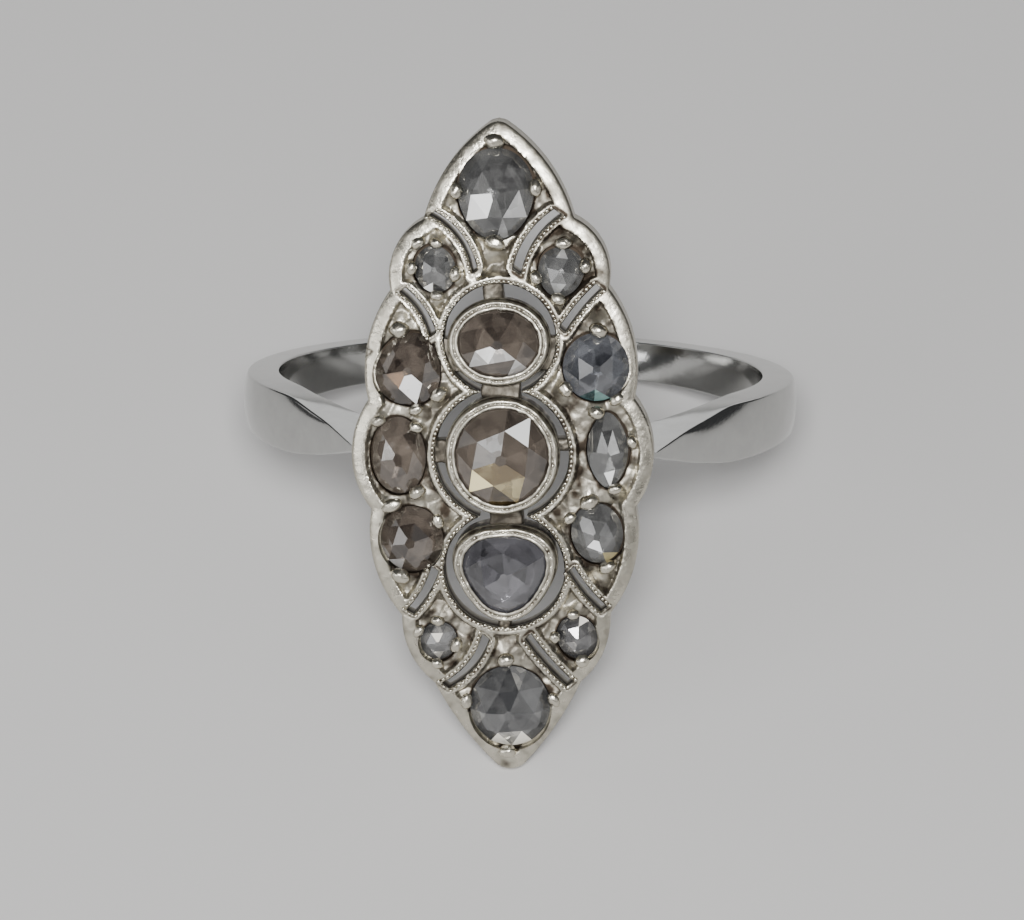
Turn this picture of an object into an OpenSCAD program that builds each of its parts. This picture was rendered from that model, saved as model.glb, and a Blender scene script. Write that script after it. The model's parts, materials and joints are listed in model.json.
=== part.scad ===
// Navette ring: a domed, pierced plate set with rose-cut stones, on a plain shank with tapered shoulders.
// The origin is the centre of the finger hole, the plate faces -Y, and Z is up.
// The ring lies as it would by itself, on the plate's lower tip and the lower edge of the shank's back.

/* [Finger hole and shank] */
// Radius of the finger hole
bore_r = 8.65; // [8:0.05:9.5]
// Thickness of the shank at its sides
shank_t = 1.3; // [1.1:0.05:1.6]
// Thickness of the shank at its back
back_t = 1.12; // [0.9:0.02:1.2]
// Width of the shank at its back
back_w = 1.32; // [1.1:0.02:1.7]
// Width of the shoulders where they are widest
shoulder_w = 2.14; // [1.9:0.02:2.4]
// How far in front of the finger hole's centre the shoulders are widest
shoulder_front = 4.8; // [4.5:0.1:5.5]
// Radius of the curve that narrows the shoulders to a knife edge
shoulder_curve_r = 10.4; // [9:0.2:12]
// Width of the knife edge that meets the plate
spine_w = 0.3; // [0.24:0.02:0.5]
// How far the knife edge lies below the middle of the shank
spine_drop = 0.13; // [0:0.01:0.2]
// Radius of the shank's rounded outer face, across its width
crown_r = 3.2; // [2.5:0.1:5]
// Depth of the worn flats that the ring rests on, at the shank's back and the plate's lower tip
wear = 0.05; // [0.02:0.01:0.08]

/* [Head plate] */
// Rise of the plate's crown above the wall of the finger hole
head_rise = 2.35; // [2.3:0.05:2.8]
// Radius of the plate's dome
dome_r = 50; // [48:1:70]
// Thickness of the plate
plate_t = 0.95; // [0.85:0.05:1]
// Turn of the plate on the shank, in degrees
head_turn = 1.7; // [0:0.1:3]
// Width of the raised outer rim
rim_w = 0.5; // [0.4:0.02:0.6]
// Depth of the stone cells below the rim
cell_depth = 0.28; // [0.2:0.02:0.35]
// Width of the raised band round the pierced opening
frame_w = 0.3; // [0.2:0.02:0.36]
// Width of the raised edge on each side of a pierced slit
slit_edge_w = 0.27; // [0.2:0.01:0.3]

/* [Bezels] */
// Height of the bezels above the dome
bezel_rise = 0.43; // [0.3:0.01:0.6]
// Thickness of the bezels' walls
bezel_wall = 0.28; // [0.22:0.01:0.34]

/* [Stones] */
// Gap between a stone and the metal round it
stone_gap = 0.03; // [0.02:0.01:0.06]
// Height of a stone's girdle
girdle_h = 0.16; // [0.1:0.01:0.2]
// Depth of a stone's seat below the floor of its cell
seat_depth = 0.18; // [0.15:0.01:0.25]
// Width of the light hole behind a stone, as a share of the stone
light_hole = 0.62; // [0.4:0.02:0.7]

/* [Hidden] */
$fn = 96;

metal_colour = [0.80, 0.79, 0.76];
grey_stone = [0.66, 0.66, 0.68];
brown_stone = [0.55, 0.47, 0.40];
blue_stone = [0.58, 0.62, 0.72];

// The outline is a union of circles, each drawn on both sides: centre across, centre along, radius
LOBES = [
    [2.00, 0.00, 3.15],
    [0.00, 2.85, 4.64],
    [0.00, -2.75, 4.60],
    [1.62, 6.10, 2.14],
    [0.65, -5.85, 2.92],
];
// Each tip is two side arcs that meet in a small round end:
// end (1 top, -1 bottom), centre across, centre along, side radius, end radius, where it starts along
TIPS = [
    [1, 2.85, 6.55, 5.60, 0.60, 7.0],
    [-1, 8.00, 3.20, 11.60, 0.70, 7.0],
];
// Circles of the pierced opening: centre along, radius
OPENING = [
    [3.95, 1.90],
    [0.00, 2.28],
    [-4.03, 2.05],
];
// Pierced slits: outer end across and along, inner end across and along, bulge, width
SLITS = [
    [-2.25, 8.22, -0.82, 6.28, 0.29, 0.19],
    [2.02, 8.22, 0.60, 6.26, -0.25, 0.30],
    [-3.30, 5.66, -2.28, 4.15, 0.16, 0.24],
    [3.38, 5.70, 2.12, 4.25, -0.07, 0.26],
    [-3.30, -5.55, -2.38, -3.98, -0.11, 0.28],
    [3.38, -5.48, 2.28, -4.03, 0.07, 0.28],
    [-2.17, -8.22, -0.70, -6.42, -0.24, 0.28],
    [2.15, -8.17, 0.74, -6.42, 0.06, 0.30],
];
// Bridges from the bezels to the frame and to each other: two ends, each across and along, and width
BRIDGES = [
    [-0.25, 5.95, -0.15, 5.00, 0.70],
    [-2.02, 3.45, -1.10, 3.45, 1.20],
    [2.02, 3.45, 1.10, 3.45, 1.20],
    [0.02, 2.80, 0.02, 1.60, 1.30],
    [-2.45, 0.10, -1.70, 0.10, 0.80],
    [2.45, 0.30, 1.70, 0.30, 0.45],
    [0.08, -1.60, 0.08, -2.90, 1.15],
    [-0.05, -6.15, -0.05, -5.40, 0.45],
];
// Beads that hold the stones of the cells: across, along, radius
BEADS = [
    [-0.13, 10.70, 0.27], [-1.52, 8.99, 0.22], [1.34, 9.06, 0.22], [-0.13, 7.17, 0.27],
    [-2.80, 7.30, 0.18], [-2.12, 7.30, 0.18], [-3.05, 6.40, 0.20], [-1.42, 6.18, 0.20], [-2.12, 5.40, 0.18],
    [2.20, 7.26, 0.20], [3.00, 6.43, 0.22], [1.18, 6.02, 0.20], [1.99, 5.24, 0.20],
    [-3.45, 4.38, 0.26], [-2.05, 2.05, 0.24], [-2.90, 1.50, 0.20],
    [3.36, 4.30, 0.26], [2.15, 2.20, 0.22], [3.98, 1.80, 0.20],
    [-4.25, 1.25, 0.20], [-2.88, 1.02, 0.18], [-2.90, -1.35, 0.24], [-3.84, -1.70, 0.25],
    [3.22, 1.48, 0.22], [3.85, -1.32, 0.20], [4.50, 0.40, 0.18],
    [-2.18, -2.28, 0.19], [-3.60, -4.32, 0.24],
    [2.92, -1.62, 0.24], [2.22, -2.20, 0.18], [3.55, -4.05, 0.22],
    [-3.08, -6.20, 0.18], [-2.36, -5.78, 0.18], [-1.66, -6.75, 0.20], [-2.42, -7.48, 0.18],
    [2.30, -5.60, 0.18], [1.60, -6.47, 0.18], [2.60, -7.42, 0.20],
    [-0.05, -7.22, 0.25], [-1.52, -8.80, 0.20], [1.65, -8.75, 0.20], [-0.10, -10.74, 0.24],
];

// What a row of STONES holds
NAME = 0;
ACROSS = 1;      // centre, across the plate
ALONG = 2;       // centre, along the plate
WIDTH = 3;
LENGTH = 4;
TURN = 5;        // turn of the outline, in degrees
EGG = 6;         // how much narrower the top is, negative for a wider top
TRIANGLE = 7;    // how three-cornered the outline is, with a corner at the bottom
POINTED = 8;     // how pointed the two ends are
CROWN = 9;       // height of the crown
STAR = 10;       // turn of the facets, in degrees
TABLE = 11;      // width of the small table facet, as a share of the stone
COLOUR = 12;
BEZEL_RISE = 13; // how far the cell's floor stands above that of the other cells

bezel_lip = 0.12;    // how far a bezel's lip stands above the floor that its stone is set in
bezel_lift = bezel_rise + cell_depth - bezel_lip;
STONES = [
    ["stone_top_tip", -0.10, 8.88, 2.58, 3.12, 0, -0.08, 0, 0, 0.62, 0, 0.16, grey_stone, 0],
    ["stone_upper_left", -2.20, 6.35, 1.40, 1.60, 12, 0, 0, 0, 0.36, 15, 0.22, grey_stone, 0],
    ["stone_upper_right", 2.10, 6.24, 1.54, 1.70, -10, 0.04, 0.04, 0, 0.38, 0, 0.20, grey_stone, 0],
    ["stone_left_1", -3.15, 2.96, 2.20, 2.50, -14, 0.17, 0, 0, 0.50, 25, 0.18, brown_stone, 0],
    ["stone_right_1", 3.26, 2.96, 2.26, 2.32, 0, 0, 0, 0, 0.54, 30, 0.18, blue_stone, 0],
    ["stone_left_2", -3.56, -0.04, 1.84, 2.66, 0, 0.04, 0, 0, 0.44, 8, 0.22, brown_stone, 0],
    ["stone_right_2", 3.61, 0.08, 1.40, 2.60, 0, 0, 0, 0.22, 0.40, 0, 0.18, grey_stone, 0],
    ["stone_left_3", -3.18, -2.98, 2.16, 2.30, 0, 0, 0, 0, 0.50, 10, 0.24, brown_stone, 0],
    ["stone_right_3", 3.20, -2.83, 1.76, 2.10, 8, 0, 0, 0, 0.46, 40, 0.20, grey_stone, 0],
    ["stone_lower_left", -2.36, -6.64, 1.24, 1.38, -20, 0, 0, 0, 0.34, 20, 0.22, blue_stone, 0],
    ["stone_lower_right", 2.44, -6.55, 1.36, 1.60, 20, 0, 0, 0, 0.36, 0, 0.22, blue_stone, 0],
    ["stone_bottom_tip", 0.05, -9.06, 2.76, 2.98, 0, 0, 0, 0, 0.70, 0, 0.14, blue_stone, 0],
    ["bezel_stone_upper", -0.02, 3.88, 2.86, 2.38, 0, 0, 0, 0, 0.55, 12, 0.20, brown_stone, bezel_lift],
    ["bezel_stone_middle", 0.02, 0.02, 3.28, 3.44, 0, 0, 0, 0, 0.74, 18, 0.18, brown_stone, bezel_lift],
    ["bezel_stone_lower", 0.04, -3.99, 2.88, 2.80, 0, -0.05, 0.06, 0, 0.56, 30, 0.16, grey_stone, bezel_lift],
];

OUTLINE_STEPS = 24;  // corners of a stone's outline, a multiple of 12
TIP_STEPS = 6;       // stretches in each arc of a tip
BEND_STEPS = 16;     // stretches in the curve of a shoulder
RING_SHARE = 0.60;   // width of the hexagon round the star facets, as a share of the stone
RING_HEIGHT = 0.66;  // its height, as a share of the crown
SLIT_END = 0.6;      // width of a slit's edge at its ends, as a share of that at its sides
bead_sink = 0.14;    // depth of a bead's centre below the rim
bridge_front = 0.18; // how far a bridge lies below the plate's front
bridge_back = 0.12;  // how far a bridge stands clear of the plate's back
plate_grip = 0.25;   // how far the shank's ends run into the plate
rail_inset = 1.25;   // how far inside the plate's edge the shank ends
cut = 0.5;           // how far a cutting shape runs past what it cuts
HEAD_REACH = 14;     // more than the plate's largest distance from its centre
THROUGH = 4;         // more than the plate and its bezels are thick

// Corners of the solid wedge between the plate's back and the shank:
// distance outside the plate's edge, distance in front of the finger hole's wall
cheek_front = head_rise - plate_t + plate_grip;
CHEEK = [
    [2.00, -1.99],
    [-0.35, cheek_front],
    [-1.00, cheek_front],
    [-rail_inset, -0.60],
];

shank_r = bore_r + shank_t;
shank_shift = shank_t - back_t;
head_top = bore_r + head_rise;
plate_edge = LOBES[0][0] + LOBES[0][2];
shoulder_slope = (shoulder_w - back_w) / 2 / (shank_r - shank_shift + shoulder_front);
// Length of the stretch over which a shoulder narrows
taper = sqrt(pow(shoulder_curve_r, 2) - pow(shoulder_curve_r - (shoulder_w - spine_w) / 2, 2));

// Half the shank's width at the distance y behind the finger hole's centre
function half_width(y) =
    let (narrowed = min(-shoulder_front - y, taper))
    narrowed < 0
        ? shoulder_w / 2 + shoulder_slope * narrowed
        : shoulder_w / 2 - shoulder_curve_r + sqrt(pow(shoulder_curve_r, 2) - pow(narrowed, 2));

// Height of the middle of the shank's width, at the same distance
function middle(y) = -spine_drop * pow(max(0, min(-shoulder_front - y, taper)) / taper, 2);

// Height of a sphere round the dome's centre, below the crown, at a place on the plate
function dome_height(across, along, r) = sqrt(r * r - across * across - along * along) - dome_r;

// The two places that the ring rests on, and the tilt that brings them level
tip = TIPS[1];
tip_along = tip[2] + sqrt(pow(tip[3] - tip[4], 2) - pow(tip[1], 2)) + tip[4];
tip_y = -head_top - dome_height(0, tip_along, dome_r - plate_t);
tip_z = -tip_along * cos(head_turn);
back_edge_y = shank_r - shank_shift - crown_r + sqrt(pow(crown_r, 2) - pow(back_w / 2, 2));
back_edge_z = -back_w / 2;
tilt = atan2(back_edge_z - tip_z, back_edge_y - tip_y);
rest_z = back_edge_z * cos(tilt) - back_edge_y * sin(tilt) + wear;

// From the ring's own frame, with the finger hole upright, to the way it lies
module laid_down() {
    rotate([-tilt, 0, 0]) children();
}

// From the plate's frame (across, along, outward from the crown) to the ring's own frame
module on_head() {
    translate([0, -head_top, 0]) rotate([90, 0, 0]) rotate([0, 0, head_turn]) children();
}

// Stands a shape on the dome at a place on the plate, with Z along the dome's normal
module on_dome(across, along) {
    distance = norm([across, along]);
    translate([0, 0, -dome_r])
        rotate(a = asin(distance / dome_r), v = distance > 0 ? [-along, across, 0] : [0, 0, 1])
            translate([0, 0, dome_r]) children();
}

// Corners of a stone's outline, from its row, made larger or smaller by a margin
function stone_point(s, angle, share, margin) =
    let (across = (s[WIDTH] / 2 * share + margin) * cos(angle)
            * (1 - s[EGG] * sin(angle)) * (1 - s[POINTED] * pow(sin(angle), 2)),
        along = (s[LENGTH] / 2 * share + margin) * sin(angle),
        corner = 1 + s[TRIANGLE] * cos(3 * (angle + 90)),
        x = across * corner,
        y = along * corner)
    [x * cos(s[TURN]) - y * sin(s[TURN]), x * sin(s[TURN]) + y * cos(s[TURN])];

function stone_outline(s, share, margin) =
    [for (i = [0 : OUTLINE_STEPS - 1]) stone_point(s, s[STAR] + i * 360 / OUTLINE_STEPS, share, margin)];

function hexagon(s, share) =
    [for (i = [0 : 5]) stone_point(s, s[STAR] + i * 60, share, 0)];

function at_height(points, z) = [for (p = points) [p[0], p[1], z]];

// A rose cut: flat back, girdle, a fan of facets up to a hexagon, six star facets and a small table
module rose_cut(s) {
    n = OUTLINE_STEPS;
    points = concat(
        at_height(stone_outline(s, 1, 0), 0),
        at_height(stone_outline(s, 1, 0), girdle_h),
        at_height(hexagon(s, RING_SHARE), girdle_h + s[CROWN] * RING_HEIGHT),
        at_height(hexagon(s, s[TABLE]), girdle_h + s[CROWN]));
    back = [[for (i = [0 : n - 1]) i]];
    girdle = [for (i = [0 : n - 1]) [i, n + i, n + (i + 1) % n, (i + 1) % n]];
    fans = [for (i = [0 : n - 1])
        [n + i, 2 * n + floor(i * 6 / n + 0.5) % 6, n + (i + 1) % n]];
    teeth = [for (k = [0 : 5]) [2 * n + k, 2 * n + (k + 1) % 6, n + (k * n / 6 + n / 12)]];
    star = [for (k = [0 : 5]) [2 * n + k, 2 * n + 6 + k, 2 * n + 6 + (k + 1) % 6, 2 * n + (k + 1) % 6]];
    table = [[for (k = [5 : -1 : 0]) 2 * n + 6 + k]];
    polyhedron(points = points, faces = concat(back, girdle, fans, teeth, star, table));
}

// A shape in the frame of a stone's seat
module at_seat(s) {
    on_dome(s[ACROSS], s[ALONG])
        translate([0, 0, s[BEZEL_RISE] - cell_depth - seat_depth]) children();
}

module stone(s) {
    color(s[COLOUR]) laid_down() on_head() at_seat(s)
        translate([0, 0, stone_gap]) rose_cut(s);
}

// The seat that a stone drops into, and the light hole behind it
module stone_seat(s) {
    at_seat(s) linear_extrude(height = THROUGH) polygon(stone_outline(s, 1, stone_gap));
    at_seat(s) translate([0, 0, -THROUGH])
        cylinder(r = light_hole * min(s[WIDTH], s[LENGTH]) / 2, h = THROUGH + cut);
}

// Points of one tip, from its row, pulled in by an inset
function tip_points(t, inset) =
    let (side_r = t[3] - inset,
        end_r = t[4] - inset,
        end_along = t[2] + sqrt(pow(t[3] - t[4], 2) - pow(t[1], 2)),
        start = asin((t[5] - t[2]) / side_r),
        meet = atan2(end_along - t[2], t[1]),
        side = [for (i = [0 : TIP_STEPS])
            let (a = start + (meet - start) * i / TIP_STEPS) [-t[1] + side_r * cos(a), t[2] + side_r * sin(a)]],
        end = [for (i = [1 : TIP_STEPS - 1])
            let (a = meet + (180 - 2 * meet) * i / TIP_STEPS) [end_r * cos(a), end_along + end_r * sin(a)]],
        other = [for (i = [TIP_STEPS : -1 : 0]) [-side[i][0], side[i][1]]])
    [for (p = concat(side, end, other)) [p[0], t[0] * p[1]]];

module outline(inset) {
    for (side = [-1, 1], l = LOBES)
        translate([side * l[0], l[1]]) circle(r = l[2] - inset);
    for (t = TIPS) polygon(tip_points(t, inset));
}

module opening(margin) {
    for (c = OPENING)
        translate([0, c[0]]) circle(r = c[1] + margin);
}

// One pierced slit: a stretch of a ring, square at its ends
module slit(s, margin) {
    chord = [s[2] - s[0], s[3] - s[1]];
    length = norm(chord);
    r = length * length / 8 / abs(s[4]) + abs(s[4]) / 2;
    reach = length / 2 + margin * SLIT_END;
    translate([(s[0] + s[2]) / 2, (s[1] + s[3]) / 2]) rotate(atan2(chord[1], chord[0]))
        intersection() {
            translate([0, s[4] - sign(s[4]) * r]) difference() {
                circle(r = r + s[5] / 2 + margin);
                circle(r = r - s[5] / 2 - margin);
            }
            square([2 * reach, 2 * length], center = true);
        }
}

module slits(margin) {
    for (s = SLITS) slit(s, margin);
}

// What is sunk between the rim, the frame of the opening and the edges of the slits
module cells() {
    difference() {
        outline(rim_w);
        opening(frame_w);
        slits(slit_edge_w);
    }
}

module through_the_plate() {
    translate([0, 0, -THROUGH]) linear_extrude(height = THROUGH + cut) children();
}

module dome(r) {
    translate([0, 0, -dome_r]) sphere(r = r);
}

// The domed plate with its opening, slits and sunk cells
module plate() {
    difference() {
        intersection() {
            through_the_plate() outline(0);
            dome(dome_r);
        }
        dome(dome_r - plate_t);
        through_the_plate() opening(0);
        through_the_plate() slits(0);
        difference() {
            through_the_plate() cells();
            dome(dome_r - cell_depth);
        }
    }
}

// A bezel: a tube round its stone, from the plate's back to above the dome
module bezel(s) {
    on_dome(s[ACROSS], s[ALONG]) translate([0, 0, -plate_t])
        linear_extrude(height = plate_t + bezel_rise) polygon(stone_outline(s, 1, bezel_wall));
}

module bridge(b) {
    run = [b[2] - b[0], b[3] - b[1]];
    on_dome((b[0] + b[2]) / 2, (b[1] + b[3]) / 2)
        rotate([0, 0, atan2(run[1], run[0])])
            translate([-norm(run) / 2, -b[4] / 2, bridge_back - plate_t])
                cube([norm(run), b[4], plate_t - bridge_back - bridge_front]);
}

module bead(b) {
    on_dome(b[0], b[1]) translate([0, 0, -bead_sink]) sphere(r = b[2]);
}

module head() {
    difference() {
        union() {
            plate();
            for (s = STONES) if (s[BEZEL_RISE] > 0) bezel(s);
            for (b = BRIDGES) bridge(b);
            for (b = BEADS) bead(b);
        }
        for (s = STONES) stone_seat(s);
    }
}

// The shank as a full round band, thinner at its back and slightly rounded across its width
module band() {
    translate([0, -shank_shift, 0]) rotate_extrude()
        intersection() {
            translate([shank_r - crown_r, 0]) circle(r = crown_r);
            translate([bore_r - cut, -shoulder_w]) square([shank_t + 2 * cut, 2 * shoulder_w]);
        }
}

// Fills the corner between the band and the plate's back on each side
module shoulder_cheeks() {
    for (side = [-1, 1])
        translate([0, 0, -shoulder_w]) linear_extrude(height = 2 * shoulder_w)
            polygon([for (c = CHEEK) [side * (plate_edge + c[0]), -bore_r - c[1]]]);
}

// Side view of the shank, drawn as distance behind the finger hole's centre and height
module side_view() {
    front = -head_top - cut;
    back = shank_r + cut;
    bend = [for (i = [0 : BEND_STEPS])
        -shoulder_front - (head_top - plate_t - shoulder_front) * i / BEND_STEPS];
    places = concat([back], bend, [front]);
    last = len(places) - 1;
    polygon(concat(
        [for (y = places) [y, middle(y) + half_width(y)]],
        [for (i = [last : -1 : 0]) [places[i], middle(places[i]) - half_width(places[i])]]));
}

module shank() {
    gap_w = 2 * (plate_edge - rail_inset);
    difference() {
        intersection() {
            union() {
                band();
                shoulder_cheeks();
            }
            rotate([90, 0, 90]) translate([0, 0, -HEAD_REACH])
                linear_extrude(height = 2 * HEAD_REACH) side_view();
        }
        cylinder(r = bore_r, h = 2 * HEAD_REACH, center = true);
        translate([-gap_w / 2, -2 * bore_r, -HEAD_REACH])
            cube([gap_w, 2 * bore_r, 2 * HEAD_REACH]);
    }
}

module ring_mount() {
    color(metal_colour) difference() {
        laid_down() {
            shank();
            on_head() head();
        }
        translate([-HEAD_REACH, -2 * HEAD_REACH, rest_z - HEAD_REACH])
            cube([2 * HEAD_REACH, 4 * HEAD_REACH, HEAD_REACH]);
    }
}

ring_mount();
for (s = STONES) stone(s);
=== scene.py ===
"""The navette ring for the studio: its metal and stones in fine meshes, floor, lights and camera."""
import itertools
import math
import random

import bmesh
import bpy
import numpy as np
from mathutils import Matrix, Vector, geometry, kdtree, noise
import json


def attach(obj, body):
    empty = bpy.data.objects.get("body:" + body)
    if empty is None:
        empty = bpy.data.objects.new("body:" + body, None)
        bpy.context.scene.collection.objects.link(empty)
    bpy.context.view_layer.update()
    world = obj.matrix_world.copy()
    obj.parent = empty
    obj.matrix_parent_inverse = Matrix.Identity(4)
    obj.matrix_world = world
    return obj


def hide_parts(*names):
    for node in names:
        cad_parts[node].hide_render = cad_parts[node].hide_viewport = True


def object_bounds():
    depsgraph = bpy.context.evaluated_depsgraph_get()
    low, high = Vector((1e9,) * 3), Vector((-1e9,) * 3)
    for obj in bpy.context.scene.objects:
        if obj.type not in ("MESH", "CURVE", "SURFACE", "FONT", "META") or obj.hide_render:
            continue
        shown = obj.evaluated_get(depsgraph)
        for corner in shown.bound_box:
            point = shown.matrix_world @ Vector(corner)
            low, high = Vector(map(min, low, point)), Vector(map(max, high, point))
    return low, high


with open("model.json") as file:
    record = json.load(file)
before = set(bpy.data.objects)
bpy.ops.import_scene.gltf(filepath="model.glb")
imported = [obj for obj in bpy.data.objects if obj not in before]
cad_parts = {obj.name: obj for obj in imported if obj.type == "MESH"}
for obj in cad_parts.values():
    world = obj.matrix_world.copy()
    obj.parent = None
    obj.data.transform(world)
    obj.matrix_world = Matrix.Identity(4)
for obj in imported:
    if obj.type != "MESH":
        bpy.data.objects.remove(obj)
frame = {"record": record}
CAD_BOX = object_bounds()

# Sizes are millimetres until a mesh is made, and names follow the part's own source
MM = 0.001
FINGER_HOLE = frame["record"]["mounts"][0]
BORE_R = FINGER_HOLE["dims"]["r_mm"]
TILT = math.atan2(FINGER_HOLE["axis"][1], FINGER_HOLE["axis"][2])
# Height of the floor, in metres
FLOOR = CAD_BOX[0][2]

# Shank: thickness at its sides and at its back, width at its back
SHANK_T = 1.3
BACK_T = 1.12
BACK_W = 1.32
SHANK_R = BORE_R + SHANK_T
SHANK_SHIFT = SHANK_T - BACK_T
# Edges of the flanks: how far in front of the hole they are widest, half the width there, slope beyond it
INNER_EDGE = (4.4, 1.09, 0.165)
OUTER_EDGE = (6.3, 1.06, 0.29)
# Length of the bend from the widest place into the slope, and width of the knife edge
EDGE_BEND = 0.4
KNIFE_EDGE = 0.18
# How far the middle of the width drops, and between which distances in front of the hole
SPINE_DROP = 0.13
SPINE_BEND = (5.6, 8.0)
# Radius of the outer side across its width, and of the softened edges
CROWN_R = 3.2
SHANK_ROUND = 0.07
# Angle from the plate's middle at which the shoulders leave the shank's circles
SHOULDER_ANGLE = math.radians(39.6)
# How far the shoulders' ends run into the plate, and where they end inside its edge
PLATE_GRIP = 0.25
RAIL_INSET = 1.25
RAIL_DEPTH = 0.60
INNER_INSET = 1.0
OUTER_INSET = 0.35
# Stations round half the shank, on the rail and on a shoulder, and rounds that soften the outer side
SHANK_STEPS = 90
RAIL_STEPS = 12
SHOULDER_STEPS = 40
SOFTENING_ROUNDS = 30

# Plate
HEAD_TOP = BORE_R + 2.35
DOME_R = 50.0
PLATE_T = 0.95
HEAD_TURN = math.radians(1.7)
RIM_W = 0.5
CELL_DEPTH = 0.28
FRAME_W = 0.3
SLIT_EDGE_W = 0.27
# Rounded edges: radius at the openings and slits, width and fall at the rim
EDGE_ROUND = 0.06
RIM_ROUND = 0.46
RIM_FALL = 0.10
# Half the width of the step from raised metal to a cell, and the most that a place may stand above the dome
STEP_SLOPE = 0.05
PLATE_TOP = 0.02
# Lumps of the metal: scale of the noise, height on raised metal, what the cells have more
LUMP_SCALE = 2.2
LUMP_H = 0.006
CELL_LUMP_H = 0.03
# Metal that rises to each bead: reach beyond the bead, height
MOUND_REACH = 0.10
MOUND_RISE = 0.22
# The graver's cuts: distance between them, their stray as a share of it, tilt, fall from their middles
CHISEL = 0.40
CHISEL_STRAY = 0.45
CHISEL_TILT = 0.34
CHISEL_FALL = 0.9
CHISEL_FIELD = (5.6, 11.8)
CHISEL_NEIGHBOURS = 4

# Millegrain: its distance from an edge, radius and pitch, the groove that it stands in, and the distance
# that the row round the opening keeps from the slits' rows
GRAIN_ROW = 0.10
GRAIN_R = 0.072
GRAIN_PITCH = 0.165
ROW_HALF_W = 0.07
ROW_DEPTH = 0.03
SLIT_CLEAR = 0.05
# Grains on the plate: ranges of their size and sinking as shares, how low they all lie, flatness
GRAIN_SIZES = (0.85, 1.1)
GRAIN_LIFTS = (-0.35, 0.0)
GRAIN_DROP = 0.01
GRAIN_FLATNESS = 0.8
# Grains on the bezels: margin outside the stone, drop below the lip, sizes, how far those at the ends show
LIP_GRAIN_MARGIN = 0.11
LIP_GRAIN_DROP = 0.04
LIP_GRAIN_R = 0.9 * GRAIN_R
LIP_GRAIN_SIZES = (0.8, 1.1)
LIP_GRAIN_SHOWS = (0.5, 1)

# Grime in several places, from 0 to 1; beside the stones it is also painted shade, and on the bridges it is
# painted shade
CELL_GRIME = 0.42
# Dirt and painted shade in a band round each stone
STONE_DIRT_AND_SHADE = 0.6
MOUND_GRIME = 0.25
FOOT_GRIME = 0.35
ROW_GRIME = 0.7
LUMP_GRIME = 0.4
BACK_GRIME = 0.3
# Painted shade: the bridges lie down in the gaps and are darkened all over
BRIDGE_SHADE = 0.62
BEAD_GRIME = 0.02
# From which to which distance the dirt and painted shade beside a stone thin out
STONE_DIRT_AND_SHADE_REACH = (0.02, 0.14)
# Place of the foot of raised metal, as a share of the step down, and the share that counts as its top
FOOT_PLACE = 0.25
RAISED_TOP = 0.98
# Rings of the plate's walls: how far below the front, grime on the outer wall, painted shade in the openings
WALL_RINGS = ((0.05, 0.15, 0.15), (0.15, 0.2, 0.9))
# Painted shade on the front: beside the middle bezel, below it, and at the upper right
WAIST_SHADE = 0.35
WAIST_SIZE = (0.7, 2.8)
LOWER_SHADE = 0.14
LOWER_STRETCH = (1.0, 5.0)
CORNER_SHADE = 0.22
CORNER_RIM_SHADE = 0.14
CORNER_ACROSS = (-1.5, 2.0)
CORNER_ALONG = (2.5, 6.0)

# Bezels and the stones' seats
BEZEL_RISE = 0.43
BEZEL_LIP = 0.12
BEZEL_WALL = 0.28
STONE_GAP = 0.03
GIRDLE_H = 0.16
SEAT_DEPTH = 0.18
SEAT_WALL = 0.03
LIGHT_HOLE = 0.62
BEZEL_LEDGE = BEZEL_RISE - BEZEL_LIP
BEZEL_SEAT = BEZEL_LEDGE - SEAT_DEPTH
# A bezel's lip: margin outside the stone's outline, fall below the bezel's top, grime
LIP = [
    (-0.045, 0.055, 0.85), (-0.05, 0.03, 0.6), (-0.02, 0.005, 0.3), (0.02, 0, 0.15), (0.06, 0.02, 0.5),
    (0.09, 0.045, 0.5), (0.125, 0.045, 0.45), (0.155, 0.015, 0.3), (0.19, 0.01, 0.15), (0.23, 0.035, 0.25),
    (0.26, 0.08, 0.4), (0.27, 0.15, 0.6),
]
# A bezel's profile, up its inside and down its outside: margin, or None at the light hole, height, grime
BEZEL_PROFILE = [
    (None, -PLATE_T, 0.6), (None, BEZEL_SEAT, 0.8),
    (STONE_GAP, BEZEL_SEAT, 0.9), (STONE_GAP, BEZEL_LEDGE, 0.9),
    *[(margin, BEZEL_RISE - fall, grime_and_shade) for margin, fall, grime_and_shade in LIP],
    (0.27, 0.10, 0.6), (0.275, 0.06, 0.8), (0.315, 0.04, 0.3), (0.33, 0.0, 0.3), (0.33, -0.06, 0.6),
    (BEZEL_WALL, -0.10, 0.9), (BEZEL_WALL, -PLATE_T, 0.6),
]
BEZEL_STEPS = 144
# Wear of a bezel from a height up: scale and share of bends and dents, scale, depth and rise of waves
WEAR_FROM = 0.1
BEND = (1.5, 0.018)
DENT = (5, 0.010)
WAVE = (3.4, 0.04, 0.008)
DENT_GRIME = 0.35

# Bridges: how far below the plate's front and clear of its back they lie, rounding, stations
BRIDGE_FRONT = 0.18
BRIDGE_BACK = 0.12
BRIDGE_ROUND = 0.1
BRIDGE_STEPS = 17
# Lumps of the bridges: scale of the noise, height, share of the width, and the height that has none
BRIDGE_LUMP_SCALE = 2
BRIDGE_LUMP_H = 0.12
BRIDGE_LUMP_W = 0.10
BRIDGE_PLAIN_H = 0.1

# Beads: how far they are sunk and leant over their stones
BEAD_SINK = 0.08
BEAD_LEAN = 0.07
# Ranges of a bead's radius toward its stone, sideways and up, as shares, and of its turn
BEAD_SHARES = ((0.95, 1.1), (1.2, 1.5), (0.85, 0.95))
BEAD_TURNS = (-0.3, 0.3)
# Lumps of a bead: scale of the noise and share of its radius
BEAD_LUMP_SCALE = 1.4
BEAD_LUMP = 0.14

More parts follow.
